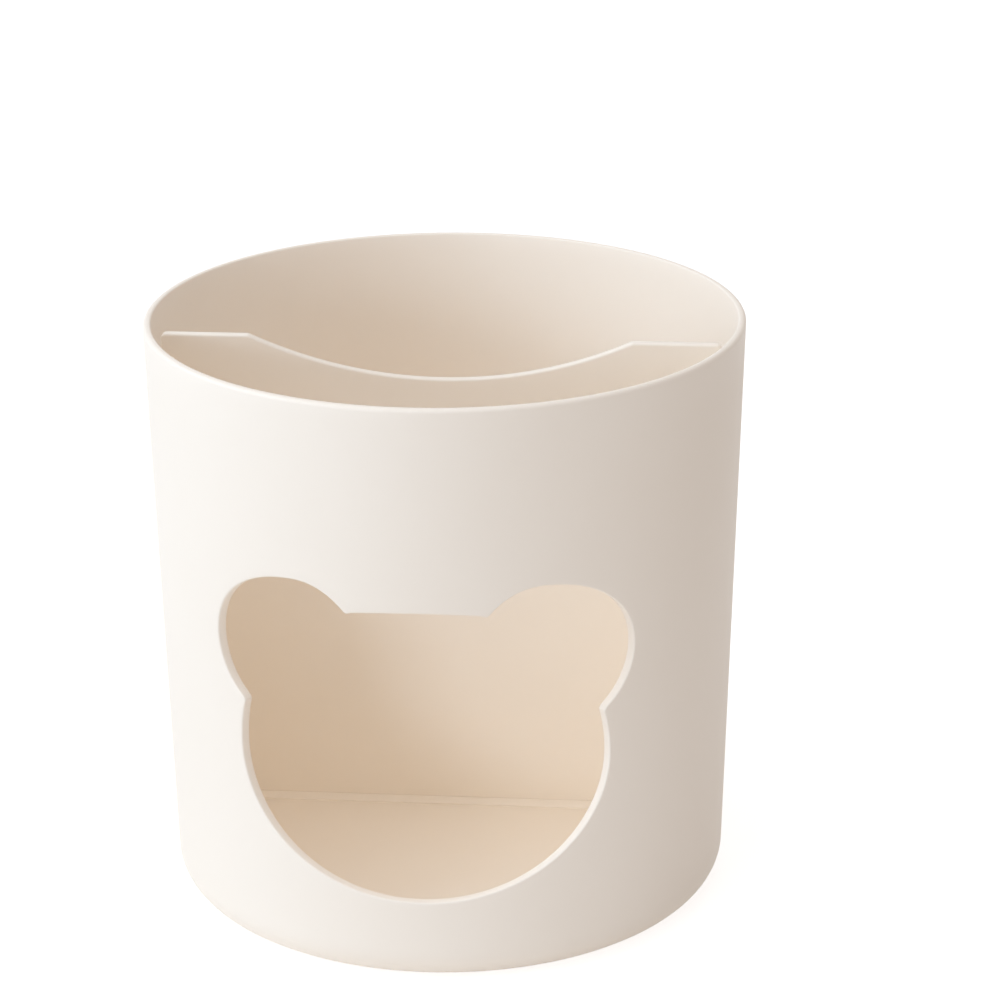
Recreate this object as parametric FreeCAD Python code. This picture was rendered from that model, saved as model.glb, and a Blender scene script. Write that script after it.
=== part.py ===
import FreeCAD, Part
import math
import os

from FreeCAD import Rotation, Vector

os.makedirs("parts", exist_ok=True)

# A round desk cup for pens, with a bear-head window through its front wall and a loose leaning divider.
# Sizes are in millimetres and angles in degrees. Z is up, the window faces -Y, and the origin is the middle
# of the foot ring, on the table.

# The cup
cup_height = 100.0
rim_radius = 50.0           # outside, at the top
base_radius = 47.2          # outside, where the wall's slope would meet the table
wall = 2.0
floor_thickness = 2.4
base_round = 6.0            # outer lower edge
inner_bevel = 3.0           # slope between floor and wall inside
rim_round = 0.7             # outer edge of the rim
rim_bevel = 0.5             # inner edge of the rim

# The underside
foot_recess_depth = 1.0
foot_recess_radius = 38.5
foot_recess_slope = 1.0     # how much wider the recess is at its mouth
gate_radius = 3.0           # the sunk disc in the middle, where the mould is filled
gate_depth = 0.4

# The window: its sizes run along the outside of the wall at mid height
head_half_width = 32.5
head_middle_height = 37.9
head_height_above = 28.9
head_height_below = 22.9
ear_spread = 20.8           # from the middle of the head to the middle of an ear
ear_middle_height = 56.3
ear_half_width = 16.2
ear_half_height = 13.3
notch_round = 1.0           # where an ear meets the head
window_edge_bevel = 0.3

# The divider: it leans toward the window as it rises
divider_lean = 15.0
divider_foot_y = 16.0       # front face at the floor
divider_thickness = 1.6
divider_below_rim = 1.5
divider_corner_round = 1.0
scoop_half_width = 31.6
scoop_depth = 7.6

# The channel that holds it
divider_side_gap = 0.8
divider_foot_gap = 0.3
channel_gap = 0.3           # from each face of the divider to its rib
rib_width = 1.6
rib_depth = 2.2             # how far a rib stands out from the wall
rib_below_divider = 8.0     # from the divider's top edge down to the ribs' ends
floor_rib_height = 1.0

# Worked out from the sizes above
floor_top = foot_recess_depth + floor_thickness
mid_radius = (rim_radius + base_radius) / 2
wall_slope = (rim_radius - base_radius) / cup_height
divider_top = cup_height - divider_below_rim
rib_top = divider_top - rib_below_divider
past = 5.0                  # how far cutting solids run past what they cut


def outer_radius(height):
    return base_radius + wall_slope * height


def edges_near(shape, test):
    """Edges whose two ends and middle all pass the test."""
    found = []
    for edge in shape.Edges:
        middle = edge.valueAt((edge.FirstParameter + edge.LastParameter) / 2)
        points = [middle] + [vertex.Point for vertex in edge.Vertexes]
        if all(test(point) for point in points):
            found.append(edge)
    return found


def at_height(height):
    return lambda point: abs(point.z - height) < 0.01


def inner_space(side_inset, floor_inset):
    """The room inside the cup, drawn in from the wall and up from the floor, and open past the rim."""
    low = floor_top + floor_inset
    high = cup_height + past
    low_radius = outer_radius(low) - wall - side_inset
    high_radius = outer_radius(high) - wall - side_inset
    room = Part.makeCone(low_radius, high_radius, high - low, Vector(0, 0, low))
    return room.makeChamfer(inner_bevel, edges_near(room, at_height(low)))


def foot_recess():
    mouth_radius = foot_recess_radius + foot_recess_slope
    recess = Part.makeCone(mouth_radius, foot_recess_radius, foot_recess_depth)
    gate = Part.makeCylinder(gate_radius, foot_recess_depth + gate_depth)
    return recess.fuse(gate)


def shell():
    """A tapered cup with a rounded lower edge, softened rim edges and a foot ring."""
    outside = Part.makeCone(base_radius, rim_radius, cup_height)
    outside = outside.makeFillet(base_round, edges_near(outside, at_height(0)))
    cup = outside.cut(inner_space(0, 0))
    rim_edges = edges_near(cup, at_height(cup_height))
    inner_edge, outer_edge = sorted(rim_edges, key=lambda edge: edge.Length)
    cup = cup.makeFillet(rim_round, [outer_edge])
    rim_edges = edges_near(cup, at_height(cup_height))
    inner_edge = min(rim_edges, key=lambda edge: edge.Length)
    cup = cup.makeChamfer(rim_bevel, [inner_edge])
    return cup.cut(foot_recess())


def window_outline(distance, middle, half_width, height_above, height_below, middle_height):
    """A closed curve on the plane y = -distance. Its points lie on level rays from the cup's axis."""
    count = 12
    points = []
    for step in range(count):
        turn = math.radians(360 * step / count)
        angle = (middle + half_width * math.cos(turn)) / mid_radius
        reach = height_above if math.sin(turn) > 0 else height_below
        points.append(Vector(distance * math.tan(angle), -distance, middle_height + reach * math.sin(turn)))
    curve = Part.BSplineCurve()
    curve.interpolate(Points=points, PeriodicFlag=True, Parameters=[float(step) for step in range(count + 1)])
    return Part.Wire(curve.toShape())


def window_piece(*outline):
    """A cutter whose sides all point at the cup's axis, so that the window is as wide inside as its angle."""
    near = window_outline(rim_radius * 0.5, *outline)
    far = window_outline(rim_radius + past, *outline)
    return Part.makeLoft([near, far], True, True)


def window_cutter():
    """The bear's head with its two ears, and the four notches between them rounded."""
    head = window_piece(0, head_half_width, head_height_above, head_height_below, head_middle_height)
    ear = (ear_half_width, ear_half_height, ear_half_height, ear_middle_height)
    cutter = head.fuse([window_piece(-ear_spread, *ear), window_piece(ear_spread, *ear)])
    notches = []
    for edge in cutter.Edges:
        runs_outward = edge.BoundBox.YLength > rim_radius * 0.5
        if runs_outward and len(cutter.ancestorsOfType(edge, Part.Face)) == 2:
            notches.append(edge)
    return cutter.makeFillet(notch_round, notches)


def below(height):
    """All the space of the cup's width from the table up to this height."""
    width = 4 * rim_radius
    return Part.makeBox(width, width, height, Vector(-width / 2, -width / 2, 0))


def leaning_slab(front, back):
    """All the space between two planes parallel to the divider, counted backward from its front face."""
    reach = 2 * cup_height
    slab = Part.makeBox(reach, back - front, reach, Vector(-reach / 2, front, -reach / 2))
    slab.Placement = FreeCAD.Placement(
        Vector(0, divider_foot_y, floor_top), Rotation(Vector(1, 0, 0), divider_lean)
    )
    return slab


def divider_ribs():
    """Two ribs that run up one wall and across the floor to the other, in front of and behind the divider."""
    outer = inner_space(-wall / 2, -floor_thickness / 2)
    band = outer.cut(inner_space(rib_depth, floor_rib_height)).common(below(rib_top))
    front = -channel_gap
    back = divider_thickness + channel_gap
    ribs = [leaning_slab(front - rib_width, front), leaning_slab(back, back + rib_width)]
    return [band.common(rib) for rib in ribs]


def on_wall(inset):
    """Passes points of the front wall that lie this far in from its outside."""
    return lambda point: point.y < 0 and abs(outer_radius(point.z) - inset - math.hypot(point.x, point.y)) < 0.02


def soften_window(cup):
    """Broken edges round the window, outside and inside."""
    inside_low = floor_top + inner_bevel
    edges = []
    for inset in (0, wall):
        for edge in edges_near(cup, on_wall(inset)):
            if edge.BoundBox.ZMin > inside_low and edge.BoundBox.ZMax < rib_top:
                edges.append(edge)
    return cup.makeChamfer(window_edge_bevel, edges)


def cup_body():
    cup = shell().fuse(divider_ribs()).removeSplitter()
    cup = cup.cut(window_cutter())
    return soften_window(cup)


def divider_scoop():
    """A level cylinder whose lowest line is the scoop's bottom and which leaves the top edge at its corners."""
    radius = (scoop_half_width ** 2 + scoop_depth ** 2) / (2 * scoop_depth)
    middle = Vector(0, -rim_radius, divider_top - scoop_depth + radius)
    return Part.makeCylinder(radius, 2 * rim_radius, middle, Vector(0, 1, 0))


def divider_panel():
    panel = leaning_slab(0, divider_thickness).common(inner_space(divider_side_gap, divider_foot_gap))
    panel = panel.common(below(divider_top)).cut(divider_scoop())
    corners = edges_near(panel, lambda point: point.z > divider_top - scoop_depth / 2)
    corners = [edge for edge in corners if edge.BoundBox.XLength < divider_thickness]
    return panel.makeFillet(divider_corner_round, corners)


cup_body().exportStep("parts/cup_body.step")
divider_panel().exportStep("parts/divider_panel.step")
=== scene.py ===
# %% [markdown]
# # A round pen cup with a bear-head window
#
# The object is a moulded desk cup, 100 mm across the rim and 100 mm high. A bear-head shape is cut
# through its front wall. One loose panel leans across the inside and makes a short front room and a long
# rear one. Both pieces are the same ivory plastic with a fine matte skin.
#
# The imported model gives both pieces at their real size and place. It is loaded first and never moved. The
# two pieces made here stand exactly where its solids stand, and add what a coarse model leaves out:
# smooth round walls, a finer rim, softened edges and the finish.

# %% Load the frame
import bmesh
import bpy
import math
from mathutils import Matrix, Vector


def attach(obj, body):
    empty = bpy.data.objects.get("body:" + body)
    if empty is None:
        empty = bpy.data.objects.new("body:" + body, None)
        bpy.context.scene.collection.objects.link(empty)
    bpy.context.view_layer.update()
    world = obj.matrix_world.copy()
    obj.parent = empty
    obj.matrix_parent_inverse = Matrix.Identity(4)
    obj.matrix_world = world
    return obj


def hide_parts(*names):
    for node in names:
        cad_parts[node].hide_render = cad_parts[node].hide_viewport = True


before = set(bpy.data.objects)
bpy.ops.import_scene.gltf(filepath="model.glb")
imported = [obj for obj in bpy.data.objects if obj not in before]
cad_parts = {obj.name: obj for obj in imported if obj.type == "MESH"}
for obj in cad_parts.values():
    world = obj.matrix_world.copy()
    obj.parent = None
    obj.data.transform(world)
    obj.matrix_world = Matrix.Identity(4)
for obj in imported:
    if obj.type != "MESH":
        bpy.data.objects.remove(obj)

bpy.context.view_layer.update()
MM = 0.001
print("solids in the frame:", sorted(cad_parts))

# %% [markdown]
# ## The camera
#
# The photograph looks down at the cup by about 20 degrees from half a metre away, through a long lens.
# The place, turn and lens were worked out from the rim's ellipse, the straight sides and the window. A
# camera that is set first lets every later piece be compared with the photograph at once.

# %% Camera at the photograph's viewing angle
lens = bpy.data.cameras.new("camera")
lens.sensor_width = 36
lens.lens = 124.2
camera = bpy.data.objects.new("camera", lens)
bpy.context.scene.collection.objects.link(camera)
camera_side = math.radians(6.05)
camera_distance, camera_height = 0.54845, 0.26880
stand = Vector((
    camera_distance * math.sin(camera_side), -camera_distance * math.cos(camera_side), camera_height,
))
heading, look_down, roll = math.radians(5.11), math.radians(20.21), math.radians(-0.34)
turn = Matrix.Rotation(heading, 4, "Z") @ Matrix.Rotation(math.pi / 2 - look_down, 4, "X")
camera.matrix_world = Matrix.Translation(stand) @ turn @ Matrix.Rotation(roll, 4, "Z")
bpy.context.scene.camera = camera
print("camera stands at", [round(value, 3) for value in stand])

# %% [markdown]
# ## Working by selection
#
# Every shape below is made as by hand: start from a simple primitive, open it in edit mode, select some
# edges or faces, and extrude, subdivide, bevel or inset them. A script has no mouse, so it selects by a
# test, such as "all edges at this height". A few small helpers keep that readable.

# %% Helpers for selecting and moving
def edit(piece, kind):
    """Opens one piece alone in edit mode, ready to pick VERT, EDGE or FACE."""
    bpy.ops.object.select_all(action="DESELECT")
    piece.select_set(True)
    bpy.context.view_layer.objects.active = piece
    bpy.ops.object.mode_set(mode="EDIT")
    bpy.ops.mesh.select_mode(type=kind)
    bpy.ops.mesh.select_all(action="DESELECT")

def pick(piece, kind, test):
    """Selects only the edges or faces that pass the test, and counts them."""
    bpy.ops.mesh.select_all(action="DESELECT")
    bpy.ops.mesh.select_mode(type="EDGE" if kind == "edges" else "FACE")
    mesh = bmesh.from_edit_mesh(piece.data)
    chosen = [part for part in getattr(mesh, kind) if test(part)]
    for part in chosen:
        part.select_set(True)
    bmesh.update_edit_mesh(piece.data)
    return len(chosen)

def slide(piece, before, after):
    """Moves each selected vertex from its place in the first list to the same entry of the second."""
    mesh = bmesh.from_edit_mesh(piece.data)
    pairs = list(zip(map(Vector, before), map(Vector, after)))
    for vertex in mesh.verts:
        if vertex.select:
            vertex.co = min(pairs, key=lambda pair: (pair[0] - vertex.co).length_squared)[1]
    bmesh.update_edit_mesh(piece.data)

def start_ring(name, places, fill="NOTHING"):
    """A circle primitive with one vertex for each place, laid out on those places."""
    bpy.ops.object.select_all(action="DESELECT")
    bpy.ops.mesh.primitive_circle_add(vertices=len(places), fill_type=fill)
    piece = bpy.context.active_object
    piece.name = name
    for vertex, place in zip(piece.data.vertices, places):
        vertex.co = place
    return piece

def face_outward():
    """Turns all the normals of the open piece outward."""
    bpy.ops.mesh.select_all(action="SELECT")
    bpy.ops.mesh.normals_make_consistent(inside=False)

def report(piece):
    """Prints how solid the piece is: its volume, and the edges that don't have two faces."""
    mesh = bmesh.from_edit_mesh(piece.data)
    open_edges = sum(not edge.is_manifold for edge in mesh.edges)
    volume = round(mesh.calc_volume(signed=True) / MM ** 3 / 1000, 2)
    print(piece.name, "has", len(mesh.faces), "faces,", open_edges, "open edges and", volume, "cm3")

print("helpers made: edit, pick, slide, start_ring, face_outward and report")

# %% [markdown]
# ## The cup's wall, drawn flat
#
# On the real cup the window is part of the mould: its sides all point at the cup's middle. Cutting a hole
# in a finished round mesh leaves ragged slivers round it. So the wall is drawn flat first, as a label
# would be, with the window's outline as the edge that everything else grows from. Then it gets its
# thickness and is rolled up.
#
# The widths along the label are measured half way up the wall, where the cup's radius is 48.6 mm. The
# wall's thickness is read from the photograph: the cut edge of the window, and the rim, which is finer
# still.

# %% The cup's sizes
cup_height, rim_radius, base_radius, wall = 100 * MM, 50 * MM, 47.2 * MM, 1.7 * MM
floor_top, floor_corner = 3.4 * MM, 3 * MM
bowl_top = floor_top + floor_corner
thin_from, rim_thinning = 84 * MM, 0.24
middle_radius = (rim_radius + base_radius) / 2
half_round = math.pi * middle_radius

def outer_radius(height):
    """The wall leans out a little as it rises, so that the moulding lets go of its mould."""
    return base_radius + (rim_radius - base_radius) * height / cup_height

def wall_share(height):
    """How much of its full thickness the wall has: it thins out over the last stretch, to a fine rim."""
    near_rim = max(height - thin_from, 0) / (cup_height - thin_from)
    return 1 - rim_thinning * near_rim ** 2

print("the flat wall is", round(2 * half_round / MM, 1), "mm long, and the rim is",
      round(wall * wall_share(cup_height) / MM, 2), "mm thick")

# %% [markdown]
# ## The bear-head outline
#
# The window is one broad rounded head, fuller above its middle than below, with a nearly flat top and two
# round ears that overlap it. Each shape is made of quarter ovals, so its inner and outer sides can
# differ, with its sizes in plain millimetres. The brow is a very large circle whose top is the head's
# nearly flat top.
#
# Rays go out from a hub inside the head. Along each ray the head ends where it meets its own oval or the
# brow, whichever comes first. The window ends where the ray leaves the last of head and ear, and the
# short dips between the two are eased, because a mould never has a knife point there.

# %% The head, the ears and the way out of them
head = {"middle": (0, 37.9), "inward": 32.5, "outward": 32.5, "above": 28.9, "below": 22.9}
brow = {"middle": (0, -27.1), "inward": 93, "outward": 93, "above": 93, "below": 93}
ear = {"middle": (20, 56.3), "inward": 11.5, "outward": 17, "above": 13.3, "below": 13.3}
hub = 40 * MM
notch_ease = 1.3 * MM

def way_out(shape, turn):
    """How far a ray from the hub runs to the far side of a rounded shape, and 0 where it misses."""
    across, up = math.cos(turn), math.sin(turn)
    middle_x, middle_y = (value * MM for value in shape["middle"])
    for side, half in (("inward", "above"), ("outward", "above"), ("inward", "below"), ("outward", "below")):
        width, height = shape[side] * MM, shape[half] * MM
        from_x, from_y = -middle_x / width, (hub - middle_y) / height
        step_x, step_y = across / width, up / height
        square, mixed = step_x ** 2 + step_y ** 2, from_x * step_x + from_y * step_y
        room = mixed ** 2 - square * (from_x ** 2 + from_y ** 2 - 1)
        reach = (math.sqrt(max(room, 0)) - mixed) / square
        is_outward, is_above = reach * across >= middle_x, hub + reach * up >= middle_y
        if room >= 0 and is_outward == (side == "outward") and is_above == (half == "above"):
            return reach
    return 0

def window_reach(turn):
    """The longer of the two ways out, eased where they are nearly the same, and whether it was eased."""
    short, long = sorted((min(way_out(head, turn), way_out(brow, turn)), way_out(ear, turn)))
    ease = max(notch_ease - (long - short), 0) / notch_ease
    return long + ease ** 2 * notch_ease / 4, ease > 0

for degrees in (90, 60, 0, -90):
    reach, eased = window_reach(math.radians(degrees))
    print("at", degrees, "degrees the window ends", round(reach / MM, 1), "mm out")

# %% [markdown]
# The outline becomes points that are evenly spaced along it, not evenly turned about the hub. It is
# walked in fine steps from its top down its right side, and a point is kept at each even share of the
# way. Where a notch is eased, the way counts four times, so that the points crowd there and the small
# curve comes out round.

# %% Points down the right half of the window
half_count, fine_steps, notch_crowding = 210, 6000, 4

def half_outline():
    """The kept points, each with its turn about the hub."""
    points, pace = [], [0]
    for step in range(fine_steps + 1):
        turn = math.pi / 2 - math.pi * step / fine_steps
        reach, eased = window_reach(turn)
        point = Vector((reach * math.cos(turn), hub + reach * math.sin(turn)))
        if points:
            pace.append(pace[-1] + (point - points[-1][0]).length * (notch_crowding if eased else 1))
        points.append((point, turn))
    chosen, at = [], 0
    for step in range(half_count + 1):
        while at < fine_steps and pace[at] < pace[-1] * step / half_count:
            at += 1
        chosen.append(points[at])
    chosen[0][0].x = chosen[-1][0].x = 0
    return chosen

right_half = half_outline()
print("the window is", round((right_half[0][0].y - right_half[-1][0].y) / MM, 1), "mm high in its middle")

# %% [markdown]
# A plain upright rectangle is drawn round the window. Each outline point gets a partner on it, spread
# evenly along each side. The faces between the two then run smoothly from the bear's head to straight
# rows and columns.

# %% The rectangle round the window
patch_side, patch_top = 44 * MM, 76 * MM
spoke_cuts = 9

def first_below(height):
    """The first outline point that is seen from the hub below this corner of the rectangle."""
    corner = math.atan2(height - hub, patch_side)
    return next(step for step, (point, turn) in enumerate(right_half) if turn <= corner)

top_corner, low_corner = first_below(patch_top), first_below(bowl_top)

def partner(step):
    """The place on the rectangle that belongs to one outline point."""
    if step <= top_corner:
        return patch_side * step / top_corner, patch_top
    if step <= low_corner:
        share = (step - top_corner) / (low_corner - top_corner)
        return patch_side, patch_top + (bowl_top - patch_top) * share
    return patch_side * (half_count - step) / (half_count - low_corner), bowl_top

def both_halves(half):
    """The right half's places and then the left half's, mirrored, without a second top or bottom one."""
    return [(x, y, 0) for x, y in half] + [(-x, y, 0) for x, y in half[-2:0:-1]]

window_ring = both_halves([tuple(point) for point, turn in right_half])
patch_ring = both_halves([partner(step) for step in range(half_count + 1)])
cup = start_ring("bear_window_cup", window_ring)
edit(cup, "VERT")
bpy.ops.mesh.select_all(action="SELECT")
bpy.ops.mesh.extrude_region_move()
slide(cup, window_ring, patch_ring)
spokes = pick(cup, "edges", lambda edge: not edge.is_boundary)
bpy.ops.mesh.subdivide(number_cuts=spoke_cuts)
print(spokes, "spokes run from the window to its rectangle")

# %% [markdown]
# The rectangle's sides are pulled out to half the way round, left and right, and everything is pulled up
# to the rim. Each pull is one extrude, and the long edges that it makes are subdivided until they can
# bend smoothly.

# %% Pull the sheet out to its full size
side_pull, side_cuts = half_round - patch_side, 41
top_pull, top_cuts = cup_height - patch_top, 8
same_place = 0.001 * MM

def stands_at(axis, value):
    """Passes edges that lie wholly on this line across or up the sheet."""
    return lambda edge: all(abs(vertex.co[axis] - value) < same_place for vertex in edge.verts)

def made_by(pull):
    """Passes the long edges that a pull has just made, as no other edge is nearly so long."""
    return lambda edge: edge.calc_length() > 0.9 * pull

for side in (-1, 1):
    pick(cup, "edges", stands_at(0, side * patch_side))
    bpy.ops.mesh.extrude_region_move(TRANSFORM_OT_translate={"value": (side * side_pull, 0, 0)})
pick(cup, "edges", made_by(side_pull))
bpy.ops.mesh.subdivide(number_cuts=side_cuts)
pick(cup, "edges", stands_at(1, patch_top))
bpy.ops.mesh.extrude_region_move(TRANSFORM_OT_translate={"value": (0, top_pull, 0)})
pick(cup, "edges", made_by(top_pull))
bpy.ops.mesh.subdivide(number_cuts=top_cuts)
face_outward()
mesh = bmesh.from_edit_mesh(cup.data)
if sum(face.normal.z for face in mesh.faces) < 0:
    bpy.ops.mesh.flip_normals()
print("the flat wall has", len(mesh.faces), "faces")
bpy.ops.object.mode_set(mode="OBJECT")

# %% [markdown]
# ## Thickness, then the roll
#
# Solidify gives the flat sheet its thickness, all of it inward. It also closes the window's edge, which
# is wanted, and the sheet's two ends and its lower edge, which are not: the ends will meet, and the bowl
# goes on below. The window's edges are marked sharp now, while they are easy to find, to be rounded
# later.

# %% Give the wall its thickness
thicken = cup.modifiers.new("wall", "SOLIDIFY")
thicken.thickness, thicken.offset = wall, -1
bpy.ops.object.modifier_apply(modifier=thicken.name)

def is_edge_face(face):
    """Passes the faces that close the sheet's edges, which stand upright on it."""
    return abs(face.normal.z) < 0.5

def is_open_end(face):
    """Passes the edge faces at the two ends of the sheet and along its lower side."""
    middle = face.calc_center_median()
    at_end = abs(middle.x) > half_round - same_place or middle.y < bowl_top + same_place
    return is_edge_face(face) and at_end

def is_window_edge(edge):
    """Passes the two outlines of the window, one on each skin."""
    level = abs(edge.verts[0].co.z - edge.verts[1].co.z) < same_place
    return level and edge.verts[0].co.y < patch_top and any(map(is_edge_face, edge.link_faces))

edit(cup, "FACE")
print("end faces taken away:", pick(cup, "faces", is_open_end))
bpy.ops.mesh.delete(type="ONLY_FACE")
pick(cup, "edges", lambda edge: edge.is_wire)
bpy.ops.mesh.delete(type="EDGE")
print("window edges marked:", pick(cup, "edges", is_window_edge))
bpy.ops.mesh.mark_sharp()
bpy.ops.object.mode_set(mode="OBJECT")

# %% [markdown]
# A bend tool would need a window to work in, so the roll is written out: a point's place along the sheet
# becomes an angle, its height stays, and its depth is taken off the cup's radius at that height. Near the
# rim the depth shrinks, because the core that shapes the inside is tapered more than the outside is. The
# front of the cup faces -Y. The two ends meet at the back and are merged.

# %% Roll the wall up
close_by = 0.01 * MM
for vertex in cup.data.vertices:
    along, height, depth = vertex.co
    radius = outer_radius(height) + depth * wall_share(height)
    angle = along / middle_radius
    vertex.co = (radius * math.sin(angle), -radius * math.cos(angle), height)
edit(cup, "VERT")
bpy.ops.mesh.select_all(action="SELECT")
bpy.ops.mesh.remove_doubles(threshold=close_by)
report(cup)

# %% [markdown]
# ## The bowl
#
# Below the window the cup is plain and round, so both skins are simply carried on, ring by ring: each
# ring is an extrude followed by a scale about the cup's middle. The outside runs round the lower edge to
# a narrow foot ring, a shallow recess that keeps the middle off the table, and the small sunk disc where
# the mould was filled. The inside curves into the floor. Corners are rounded in the profile itself.

# %% A profile with rounded corners
def rounded(corners):
    """Points through the corners. One given as (across, up, round, steps) is rounded by that radius."""
    path = [corners[0][:2]]
    for before, corner, after in zip(corners, corners[1:], corners[2:]):
        if len(corner) == 2:
            path.append(corner)
            continue
        here, size, steps = Vector(corner[:2]), *corner[2:]
        back, ahead = (Vector(before[:2]) - here).normalized(), (Vector(after[:2]) - here).normalized()
        half = back.angle(ahead) / 2
        middle = here + (back + ahead).normalized() * size / math.sin(half)
        start = here + back * size / math.tan(half) - middle
        side = -1 if back.x * ahead.y > back.y * ahead.x else 1
        for step in range(steps + 1):
            swing = side * (math.pi - 2 * half) * step / steps
            path.append(tuple(Matrix.Rotation(swing, 2) @ start + middle))
    path.append(corners[-1][:2])
    return path

square_corner = rounded([(0, 1), (0, 0, 0.5, 2), (1, 0)])
print("a square corner that is rounded in 2 steps becomes", len(square_corner) - 2, "points")

# %% [markdown]
# Each profile is a short list of corners, from the wall's lower end to the middle. Beside some of them
# stands one more ring, marked as flat, which keeps a flat stretch flat. The last ring is tiny.

# %% The profiles of the two skins
foot_round, floor_round, ring_round, gate_round = 6 * MM, 2.9 * MM, 0.3 * MM, 0.15 * MM
ring_flat, ring_inside = 40.9 * MM, 39.5 * MM
recess_radius, recess_flat, recess_top = 38.5 * MM, 37.6 * MM, 1 * MM
gate_radius, gate_flat, gate_top = 3 * MM, 3.5 * MM, 1.4 * MM
floor_flat, last_ring = 41.8 * MM, 0.3 * MM

outside = rounded([
    (outer_radius(bowl_top), bowl_top), (base_radius, 0, foot_round, 9),
    (ring_flat, 0), (ring_inside, 0, ring_round, 2),
    (recess_radius, recess_top, ring_round, 2), (recess_flat, recess_top),
    (gate_flat, recess_top), (gate_radius, recess_top, gate_round, 2),
    (gate_radius, gate_top, gate_round, 2), (last_ring, gate_top),
])
inside = rounded([
    (outer_radius(bowl_top) - wall, bowl_top), (outer_radius(floor_top) - wall, floor_top, floor_round, 7),
    (floor_flat, floor_top), (last_ring, floor_top),
])
print(len(outside), "rings outside and", len(inside), "inside")

# %% [markdown]
# Each skin goes on from its own open ring at the wall's lower end. Scaling about the cup's axis keeps a
# ring round, so one number, the ratio of two radii, makes the next ring. The last one is merged into a
# point.

# %% Carry both skins down to the middle of the floor
between_skins = outer_radius(bowl_top) - wall / 2

def lower_ring(is_outer):
    """Passes the edges of the open ring where one skin of the wall ends."""
    def test(edge):
        point = edge.verts[0].co
        return edge.is_boundary and (point.xy.length > between_skins) == is_outer
    return test

for is_outer, profile in ((True, outside), (False, inside)):
    pick(cup, "edges", lower_ring(is_outer))
    for (radius, height), (next_radius, next_height) in zip(profile, profile[1:]):
        scale = next_radius / radius
        bpy.ops.mesh.extrude_region_move(TRANSFORM_OT_translate={"value": (0, 0, next_height - height)})
        bpy.ops.transform.resize(value=(scale, scale, 1), center_override=(0, 0, 0))
    bpy.ops.mesh.merge(type="CENTER")
face_outward()
report(cup)

# %% [markdown]
# ## Soft edges
#
# No moulded edge is a knife edge, but these are crisp ones. The window's edges, outside and inside, and
# the rim's are bevelled in several narrow steps, so each one catches a thin line of light as the real one
# does.

# %% Round the window's edges and the rim
window_round, rim_round, rim_inner_round = 0.3 * MM, 0.7 * MM, 0.3 * MM

def rim_edge(radius):
    """Passes the edges at the top of the cup that lie on a circle."""
    def test(edge):
        return all(abs(vertex.co.z - cup_height) < close_by and abs(vertex.co.xy.length - radius) < close_by
                   for vertex in edge.verts)
    return test

print("window edges:", pick(cup, "edges", lambda edge: not edge.smooth))
bpy.ops.mesh.bevel(offset=window_round, segments=4, affect="EDGES")
print("outer rim edges:", pick(cup, "edges", rim_edge(rim_radius)))
bpy.ops.mesh.bevel(offset=rim_round, segments=5, affect="EDGES")
print("inner rim edges:", pick(cup, "edges", rim_edge(rim_radius - wall * wall_share(cup_height))))
bpy.ops.mesh.bevel(offset=rim_inner_round, segments=4, affect="EDGES")
bpy.ops.mesh.select_all(action="SELECT")
bpy.ops.mesh.mark_sharp(clear=True)
report(cup)
bpy.ops.object.mode_set(mode="OBJECT")

# %% [markdown]
# ## The channel for the divider
#
# Nothing in the photograph shows what holds the panel, so this is the plain way such a cup does it: two
# thin ribs run down one wall, across the floor and up the other, one in front of the panel and one
# behind. They lean as the panel does. Each is a small bar whose end face is extruded along the cup's
# inside, step by step. It starts inside the wall's thickness, so that it can be joined to the cup without
# a gap. On the floor each rib slopes down on the side away from the panel, so that nothing catches there.
# The leaning panel rests on the front rib, and the channel's play is behind it.
#
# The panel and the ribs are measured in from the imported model's wall, which is 2 mm thick, so that they
# stand where its solids stand. The dressed wall is a little finer, and the ribs still start inside it.

# %% Planes that lean with the panel
lean = math.radians(15)
panel_thickness, panel_foot, panel_top = 1.6 * MM, 16 * MM, 98.5 * MM
room_wall = 2 * MM

def plane_depth(height, behind=0):
    """How far back a plane parallel to the panel's front face is at a height."""
    return panel_foot + behind / math.cos(lean) - (height - floor_top) * math.tan(lean)

def half_width(height, depth, side_inset, floor_inset):
    """From the cup's middle out to its inside at a height and depth, drawn in from wall and floor."""
    low = floor_top + floor_inset
    by_wall = outer_radius(height) - room_wall - side_inset
    by_corner = outer_radius(low) - room_wall - side_inset - floor_corner + height - low
    return math.sqrt(min(by_wall, by_corner) ** 2 - depth ** 2)

print("the panel leans from", round(plane_depth(floor_top) / MM, 1), "mm behind the middle at the floor",
      "to", round(-plane_depth(panel_top) / MM, 1), "mm in front of it at the top")

# %% [markdown]
# A rib is worked out on the left side, down the wall and round the corner to the floor, and mirrored. At
# each step it has four corners. The outer two are buried in the wall or floor, and the inner two stand
# proud of it.

# %% One rib's path
rib_top, rib_width = 90.5 * MM, 1.6 * MM
proud_side, proud_floor, sloped_floor = 2.2 * MM, 1 * MM, 0.2 * MM
buried_side, buried_floor = -1 * MM, -1.2 * MM
wall_steps, corner_steps = 28, 4

def rib_point(height, behind, side_inset, floor_inset):
    """A point of the left side, on a plane parallel to the panel and set in from wall and floor."""
    depth = plane_depth(height, behind)
    return Vector((-half_width(height, depth, side_inset, floor_inset), depth, height))

def rib_height(floor_inset, step):
    """The height of one step down the left wall and then down the slope of the corner."""
    foot = floor_top + floor_inset + floor_corner
    down_wall = (foot - rib_top) * min(step / wall_steps, 1)
    return rib_top + down_wall - floor_corner * max(step - wall_steps, 0) / corner_steps

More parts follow.
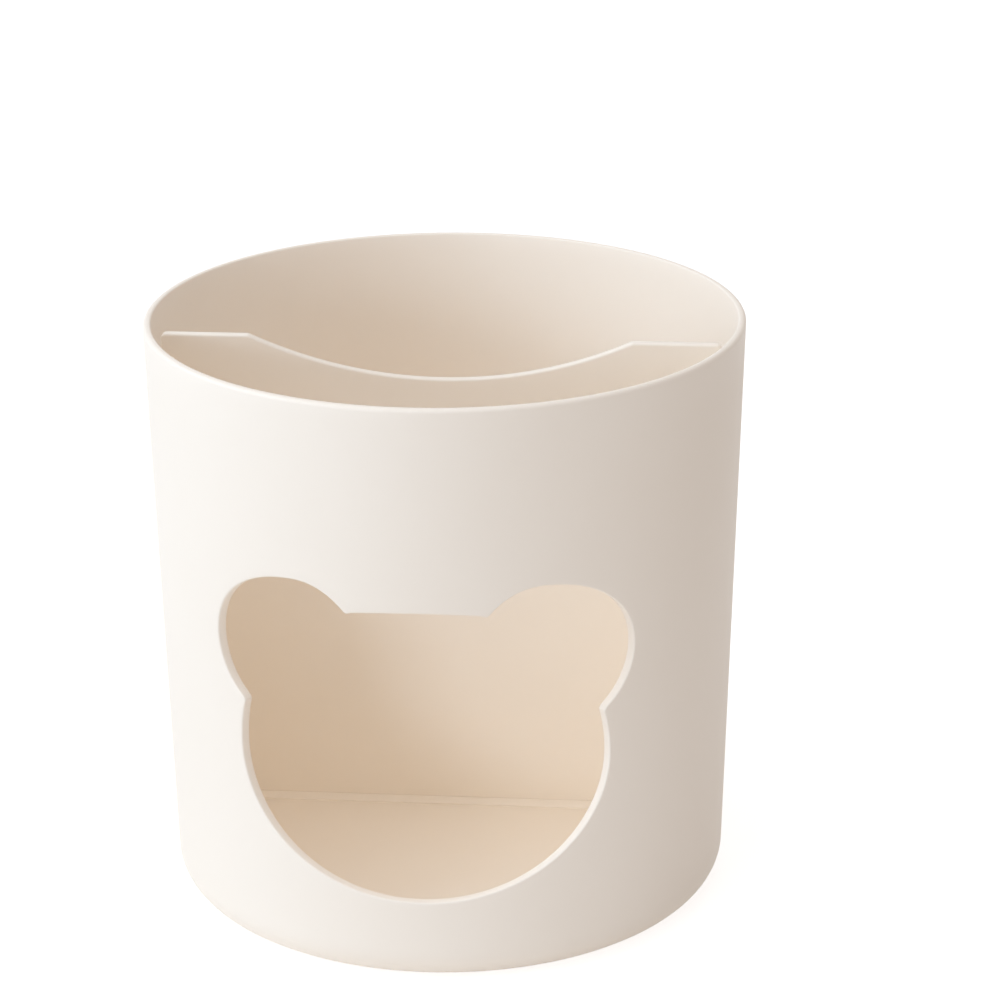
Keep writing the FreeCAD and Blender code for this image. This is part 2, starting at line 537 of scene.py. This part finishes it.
def rib_path(low_side, high_side):
    """Four corners at each step, in the order buried, proud, proud, buried."""
    corners = (
        (low_side, buried_side, buried_floor), (low_side, proud_side, sloped_floor),
        (high_side, proud_side, proud_floor), (high_side, buried_side, buried_floor),
    )
    left = []
    for step in range(wall_steps + corner_steps + 1):
        left.append([rib_point(rib_height(up, step), behind, side, up) for behind, side, up in corners])
    mirrored = [[Vector((-point.x, point.y, point.z)) for point in four] for four in reversed(left)]
    return left + mirrored

print("each rib has", len(rib_path(0, rib_width)), "steps")

# %% [markdown]
# The bar grows by one extrude for each step, slid onto the next four corners. It meets the wall at a
# slant all the way, which the wall's own rows and columns can't follow, so a boolean joins the two, with
# the exact solver.

# %% Make both ribs and join them to the cup
rib_round, rib_corner = 0.1 * MM, math.radians(50)
smooth_under = math.radians(35)

def make_rib(name, low_side, high_side):
    """A rib between two planes: its low side is the one that slopes down to the floor."""
    path = rib_path(low_side, high_side)
    rib = start_ring(name, path[0], "NGON")
    edit(rib, "FACE")
    bpy.ops.mesh.select_all(action="SELECT")
    for here, there in zip(path, path[1:]):
        bpy.ops.mesh.extrude_region_move()
        slide(rib, here, there)
    face_outward()
    pick(rib, "edges", lambda edge: edge.calc_face_angle() > rib_corner)
    bpy.ops.mesh.bevel(offset=rib_round, segments=2, affect="EDGES")
    report(rib)
    bpy.ops.object.mode_set(mode="OBJECT")
    return rib

def join_to_cup(part):
    """Joins a part to the cup as one mesh, and removes the part."""
    bpy.context.view_layer.objects.active = cup
    union = cup.modifiers.new("join", "BOOLEAN")
    union.operation, union.solver, union.object = "UNION", "EXACT", part
    bpy.ops.object.modifier_apply(modifier=union.name)
    bpy.data.objects.remove(part)

front_gap, rear_gap = 0.02 * MM, 0.4 * MM
behind_panel = panel_thickness + rear_gap
join_to_cup(make_rib("front_rib", -front_gap - rib_width, -front_gap))
join_to_cup(make_rib("rear_rib", behind_panel + rib_width, behind_panel))
edit(cup, "VERT")
bpy.ops.mesh.select_all(action="SELECT")
bpy.ops.mesh.remove_doubles(threshold=same_place)
report(cup)
bpy.ops.object.mode_set(mode="OBJECT")
bpy.ops.object.shade_smooth_by_angle(angle=smooth_under)

# %% [markdown]
# ## The divider
#
# A flat moulded panel with a long scoop in its top edge, which makes room for fingers. Its outline
# follows the cup's inside with a small gap, so that it drops in easily. The outline is filled as one face
# and extruded level, straight back, so that the top edge stays level while the faces lean. Its edges are
# rounded, and the two broad faces are inset a little, so that the rounding's shading ends there and the
# faces stay flat.

# %% The panel's outline
side_gap, foot_gap, corner_round = 0.8 * MM, 0.3 * MM, 1 * MM
panel_bottom = floor_top + foot_gap
scoop_half, scoop_depth, scoop_steps = 31.6 * MM, 7.6 * MM, 20
scoop_radius = (scoop_half ** 2 + scoop_depth ** 2) / (2 * scoop_depth)
level_thickness = panel_thickness / math.cos(lean)

def panel_side(height):
    """Half the panel's width at a height: whichever of its front and back faces has less room."""
    depth = plane_depth(height)
    return min(half_width(height, depth + back, side_gap, foot_gap) for back in (0, level_thickness))

def scoop_point(share):
    """A point of the scoop's arc, from its end at 0 to its lowest place at 1."""
    across = scoop_half * (1 - share)
    return across, panel_top - scoop_depth + scoop_radius - math.sqrt(scoop_radius ** 2 - across ** 2)

# Every millimetre round the lower corner, then every second one up the side
heights = [panel_bottom + step * MM for step in range(4)] + [height * MM for height in range(9, 97, 2)]
side_points = [(panel_side(height), height) for height in heights]
corners = [(panel_side(panel_top), panel_top, corner_round, 6), (scoop_half, panel_top, corner_round, 3)]
scoop = [scoop_point(step / scoop_steps) for step in range(1, scoop_steps + 1)]
half_panel = rounded(side_points + corners + scoop)
panel_outline = half_panel + [(-across, height) for across, height in half_panel[-2::-1]]
print("the panel is", round(2 * panel_side(panel_top) / MM, 1), "mm wide at its top")

# %% [markdown]
# Only the two broad faces have more than a few corners, so they and the edges round them are easy to
# select.

# %% Make the panel
edge_round, flat_inset = 0.5 * MM, 0.3 * MM

def is_broad(face):
    """Passes the panel's front and back faces."""
    return len(face.verts) > 8

divider = start_ring(
    "scooped_divider", [(across, plane_depth(height), height) for across, height in panel_outline], "NGON"
)
edit(divider, "FACE")
bpy.ops.mesh.select_all(action="SELECT")
bpy.ops.mesh.extrude_region_move(TRANSFORM_OT_translate={"value": (0, level_thickness, 0)})
face_outward()
pick(divider, "edges", lambda edge: any(map(is_broad, edge.link_faces)))
bpy.ops.mesh.bevel(offset=edge_round, segments=5, affect="EDGES")
pick(divider, "faces", is_broad)
bpy.ops.mesh.inset(thickness=flat_inset)
report(divider)
bpy.ops.object.mode_set(mode="OBJECT")
bpy.ops.object.shade_smooth_by_angle(angle=smooth_under)

# %% [markdown]
# ## The plastic
#
# Matte moulded plastic isn't one flat colour. Its skin copies the fine spark-eroded texture of the mould,
# a grain of a few tenths of a millimetre, so the shine is broad and slightly broken. The tone drifts a
# little where the melt flowed. Where hands and pens rub, near the rim, the grain is polished down and the
# skin shines slightly more. All of it reads Object coordinates, so it stays fixed to the piece.

# %% Tone, grain and wear
def add_node(tree, kind, **values):
    """A new shader node with some of its sockets set. From_Min means the socket From Min."""
    node = tree.nodes.new("ShaderNode" + kind)
    for socket, value in values.items():
        node.inputs[socket.replace("_", " ")].default_value = value
    return node

def moulded_plastic(name, colour, deeper, rubbed_from, rubbed_to):
    """Ivory plastic: a slow drift between two tones, a fine grain, and a worn band between two heights."""
    material = bpy.data.materials.new(name)
    material.use_nodes = True
    tree, link = material.node_tree, material.node_tree.links.new
    skin = tree.nodes["Principled BSDF"]
    skin.inputs["Specular IOR Level"].default_value = 0.4
    place = add_node(tree, "TexCoord").outputs["Object"]

    flow = add_node(tree, "TexNoise", Scale=18, Detail=3)
    tone = add_node(tree, "ValToRGB")
    tone.color_ramp.elements[0].position, tone.color_ramp.elements[1].position = 0.3, 0.7
    tone.color_ramp.elements[0].color, tone.color_ramp.elements[1].color = (*deeper, 1), (*colour, 1)
    link(place, flow.inputs["Vector"])
    link(flow.outputs["Fac"], tone.inputs["Fac"])
    link(tone.outputs["Color"], skin.inputs["Base Color"])

    grain = add_node(tree, "TexNoise", Scale=2600, Detail=4)
    link(place, grain.inputs["Vector"])
    height = add_node(tree, "SeparateXYZ")
    link(place, height.inputs["Vector"])
    rubbed = add_node(tree, "MapRange", From_Min=rubbed_from, From_Max=rubbed_to, To_Min=0, To_Max=0.1)
    link(height.outputs["Z"], rubbed.inputs["Value"])
    matte = add_node(tree, "MapRange", To_Min=0.46, To_Max=0.64)
    link(grain.outputs["Fac"], matte.inputs["Value"])
    worn = add_node(tree, "Math")
    worn.operation = "SUBTRACT"
    link(matte.outputs["Result"], worn.inputs[0])
    link(rubbed.outputs["Result"], worn.inputs[1])
    link(worn.outputs["Value"], skin.inputs["Roughness"])

    bump = add_node(tree, "Bump", Strength=0.25, Distance=0.03 * MM)
    link(grain.outputs["Fac"], bump.inputs["Height"])
    link(bump.outputs["Normal"], skin.inputs["Normal"])
    return material

ivory, deeper_ivory = (0.98, 0.93, 0.86), (0.96, 0.905, 0.83)
cup_plastic = moulded_plastic("ivory_cup_plastic", ivory, deeper_ivory, 92 * MM, 100 * MM)
divider_plastic = moulded_plastic("ivory_divider_plastic", ivory, deeper_ivory, 86 * MM, 98 * MM)
print("finishes:", cup_plastic.name, "and", divider_plastic.name)

# %% [markdown]
# Each piece takes the place of its solid and rides on the same body, so that it moves as the solid does.
# The solids get the same plastic.

# %% Put the pieces in the frame
for piece, solid, body, plastic in (
    (cup, "cup_body", "cup", cup_plastic), (divider, "divider_panel", "divider", divider_plastic),
):
    piece.data.materials.append(plastic)
    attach(piece, body)
    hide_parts(solid)
    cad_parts[solid].data.materials.clear()
    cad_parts[solid].data.materials.append(plastic)
    print(piece.name, "stands for", solid, "and rides on", body)

# %% [markdown]
# ## Floor and background
#
# The photograph's background is plain white, and its table is too. A floor that is simply lit enough to
# look white would send far too much light up onto the cup. So the floor and the world look white only to
# the camera and in reflections. To every other ray the floor is a pale board and the world a soft studio
# light. The floor that the camera sees is partly a steady glow and partly real lit paint, so it keeps the
# cup's soft shadow.

# %% A white to the eye only
def seen_directly(tree):
    """1 for rays from the camera, from reflections and through clear things, and 0 for all others."""
    rays = add_node(tree, "LightPath")
    total = rays.outputs["Is Camera Ray"]
    for kind in ("Is Glossy Ray", "Is Transmission Ray"):
        either = add_node(tree, "Math")
        either.operation = "MAXIMUM"
        tree.links.new(total, either.inputs[0])
        tree.links.new(rays.outputs[kind], either.inputs[1])
        total = either.outputs["Value"]
    return total

def choose(tree, hidden, seen, output):
    """Sends one shader to the output for rays that see it directly, and the other for all others."""
    mix = add_node(tree, "MixShader")
    tree.links.new(seen_directly(tree), mix.inputs["Fac"])
    tree.links.new(hidden, mix.inputs[1])
    tree.links.new(seen, mix.inputs[2])
    tree.links.new(mix.outputs["Shader"], output)

bpy.ops.object.select_all(action="DESELECT")
bpy.ops.mesh.primitive_plane_add(size=6, location=(0, 0, 0))
floor = bpy.context.active_object
floor.name = "floor"
board = bpy.data.materials.new("white_board")
board.use_nodes = True
tree = board.node_tree
paint = tree.nodes["Principled BSDF"]
paint.inputs["Base Color"].default_value = (0.86, 0.82, 0.78, 1)
paint.inputs["Roughness"].default_value = 0.8
glow = add_node(tree, "Emission", Strength=0.75)
lit = add_node(tree, "BsdfDiffuse", Color=(0.55, 0.55, 0.55, 1))
white = add_node(tree, "AddShader")
tree.links.new(glow.outputs["Emission"], white.inputs[0])
tree.links.new(lit.outputs["BSDF"], white.inputs[1])
choose(tree, paint.outputs["BSDF"], white.outputs["Shader"], tree.nodes["Material Output"].inputs["Surface"])
floor.data.materials.append(board)
print(floor.name, "is", round(floor.dimensions.x), "m across")

# %% [markdown]
# The world is the even light of a room, a little warm, as the cup's shaded side is in the photograph.

# %% The studio round it
world = bpy.data.worlds.new("studio")
bpy.context.scene.world = world
world.use_nodes = True
tree = world.node_tree
studio = tree.nodes["Background"]
studio.inputs["Color"].default_value = (1, 0.9, 0.84, 1)
studio.inputs["Strength"].default_value = 0.46
plain_white = add_node(tree, "Background", Color=(1, 1, 1, 1))
choose(tree, studio.outputs["Background"], plain_white.outputs["Background"],
       tree.nodes["World Output"].inputs["Surface"])
print("studio light strength", studio.inputs["Strength"].default_value)

# %% [markdown]
# ## Lamps
#
# The photograph is lit by one large soft light well to the left. Its right side shows only the room's own
# warm light. A second lamp, almost overhead, reaches down both rooms of the cup. A weak low one at the
# front left shines through the window onto the right half of the divider. All are broad area lamps, so no
# shadow has a hard edge.
#
# A pale cup is also a light trap: light crosses its inside many times before it gets out, and that is
# what makes the inside glow warm. Cycles stops after four such bounces by default, which leaves the
# inside grey, so the limit is raised.

# %% Three soft boxes
def soft_box(name, bearing, rise, distance, size, power, colour):
    """A soft lamp aimed at the cup, its bearing counted from the camera's, to the right."""
    angle, climb = camera_side + math.radians(bearing), math.radians(rise)
    level, up = distance * math.cos(climb), distance * math.sin(climb)
    aim = Vector((0, 0, cup_height / 2))
    place = aim + Vector((level * math.sin(angle), -level * math.cos(angle), up))
    data = bpy.data.lights.new(name, "AREA")
    data.shape = "RECTANGLE"
    data.size, data.size_y = size
    data.energy, data.color = power, colour
    lamp = bpy.data.objects.new(name, data)
    bpy.context.scene.collection.objects.link(lamp)
    facing = (aim - place).to_track_quat("-Z", "Y").to_matrix().to_4x4()
    lamp.matrix_world = Matrix.Translation(place) @ facing
    print(name, "lamp at", [round(value, 2) for value in place])

soft_box("key", -78, 32, 1.3, (0.8, 0.9), 6.4, (0.67, 0.84, 1))
soft_box("overhead", -70, 78, 1, (0.8, 0.8), 2.9, (1, 0.97, 0.95))
soft_box("low_front", -31, 9, 1.2, (0.4, 0.3), 2.5, (0.8, 0.9, 1))
bpy.context.scene.cycles.diffuse_bounces = 16
bpy.context.scene.view_settings.view_transform = "Standard"
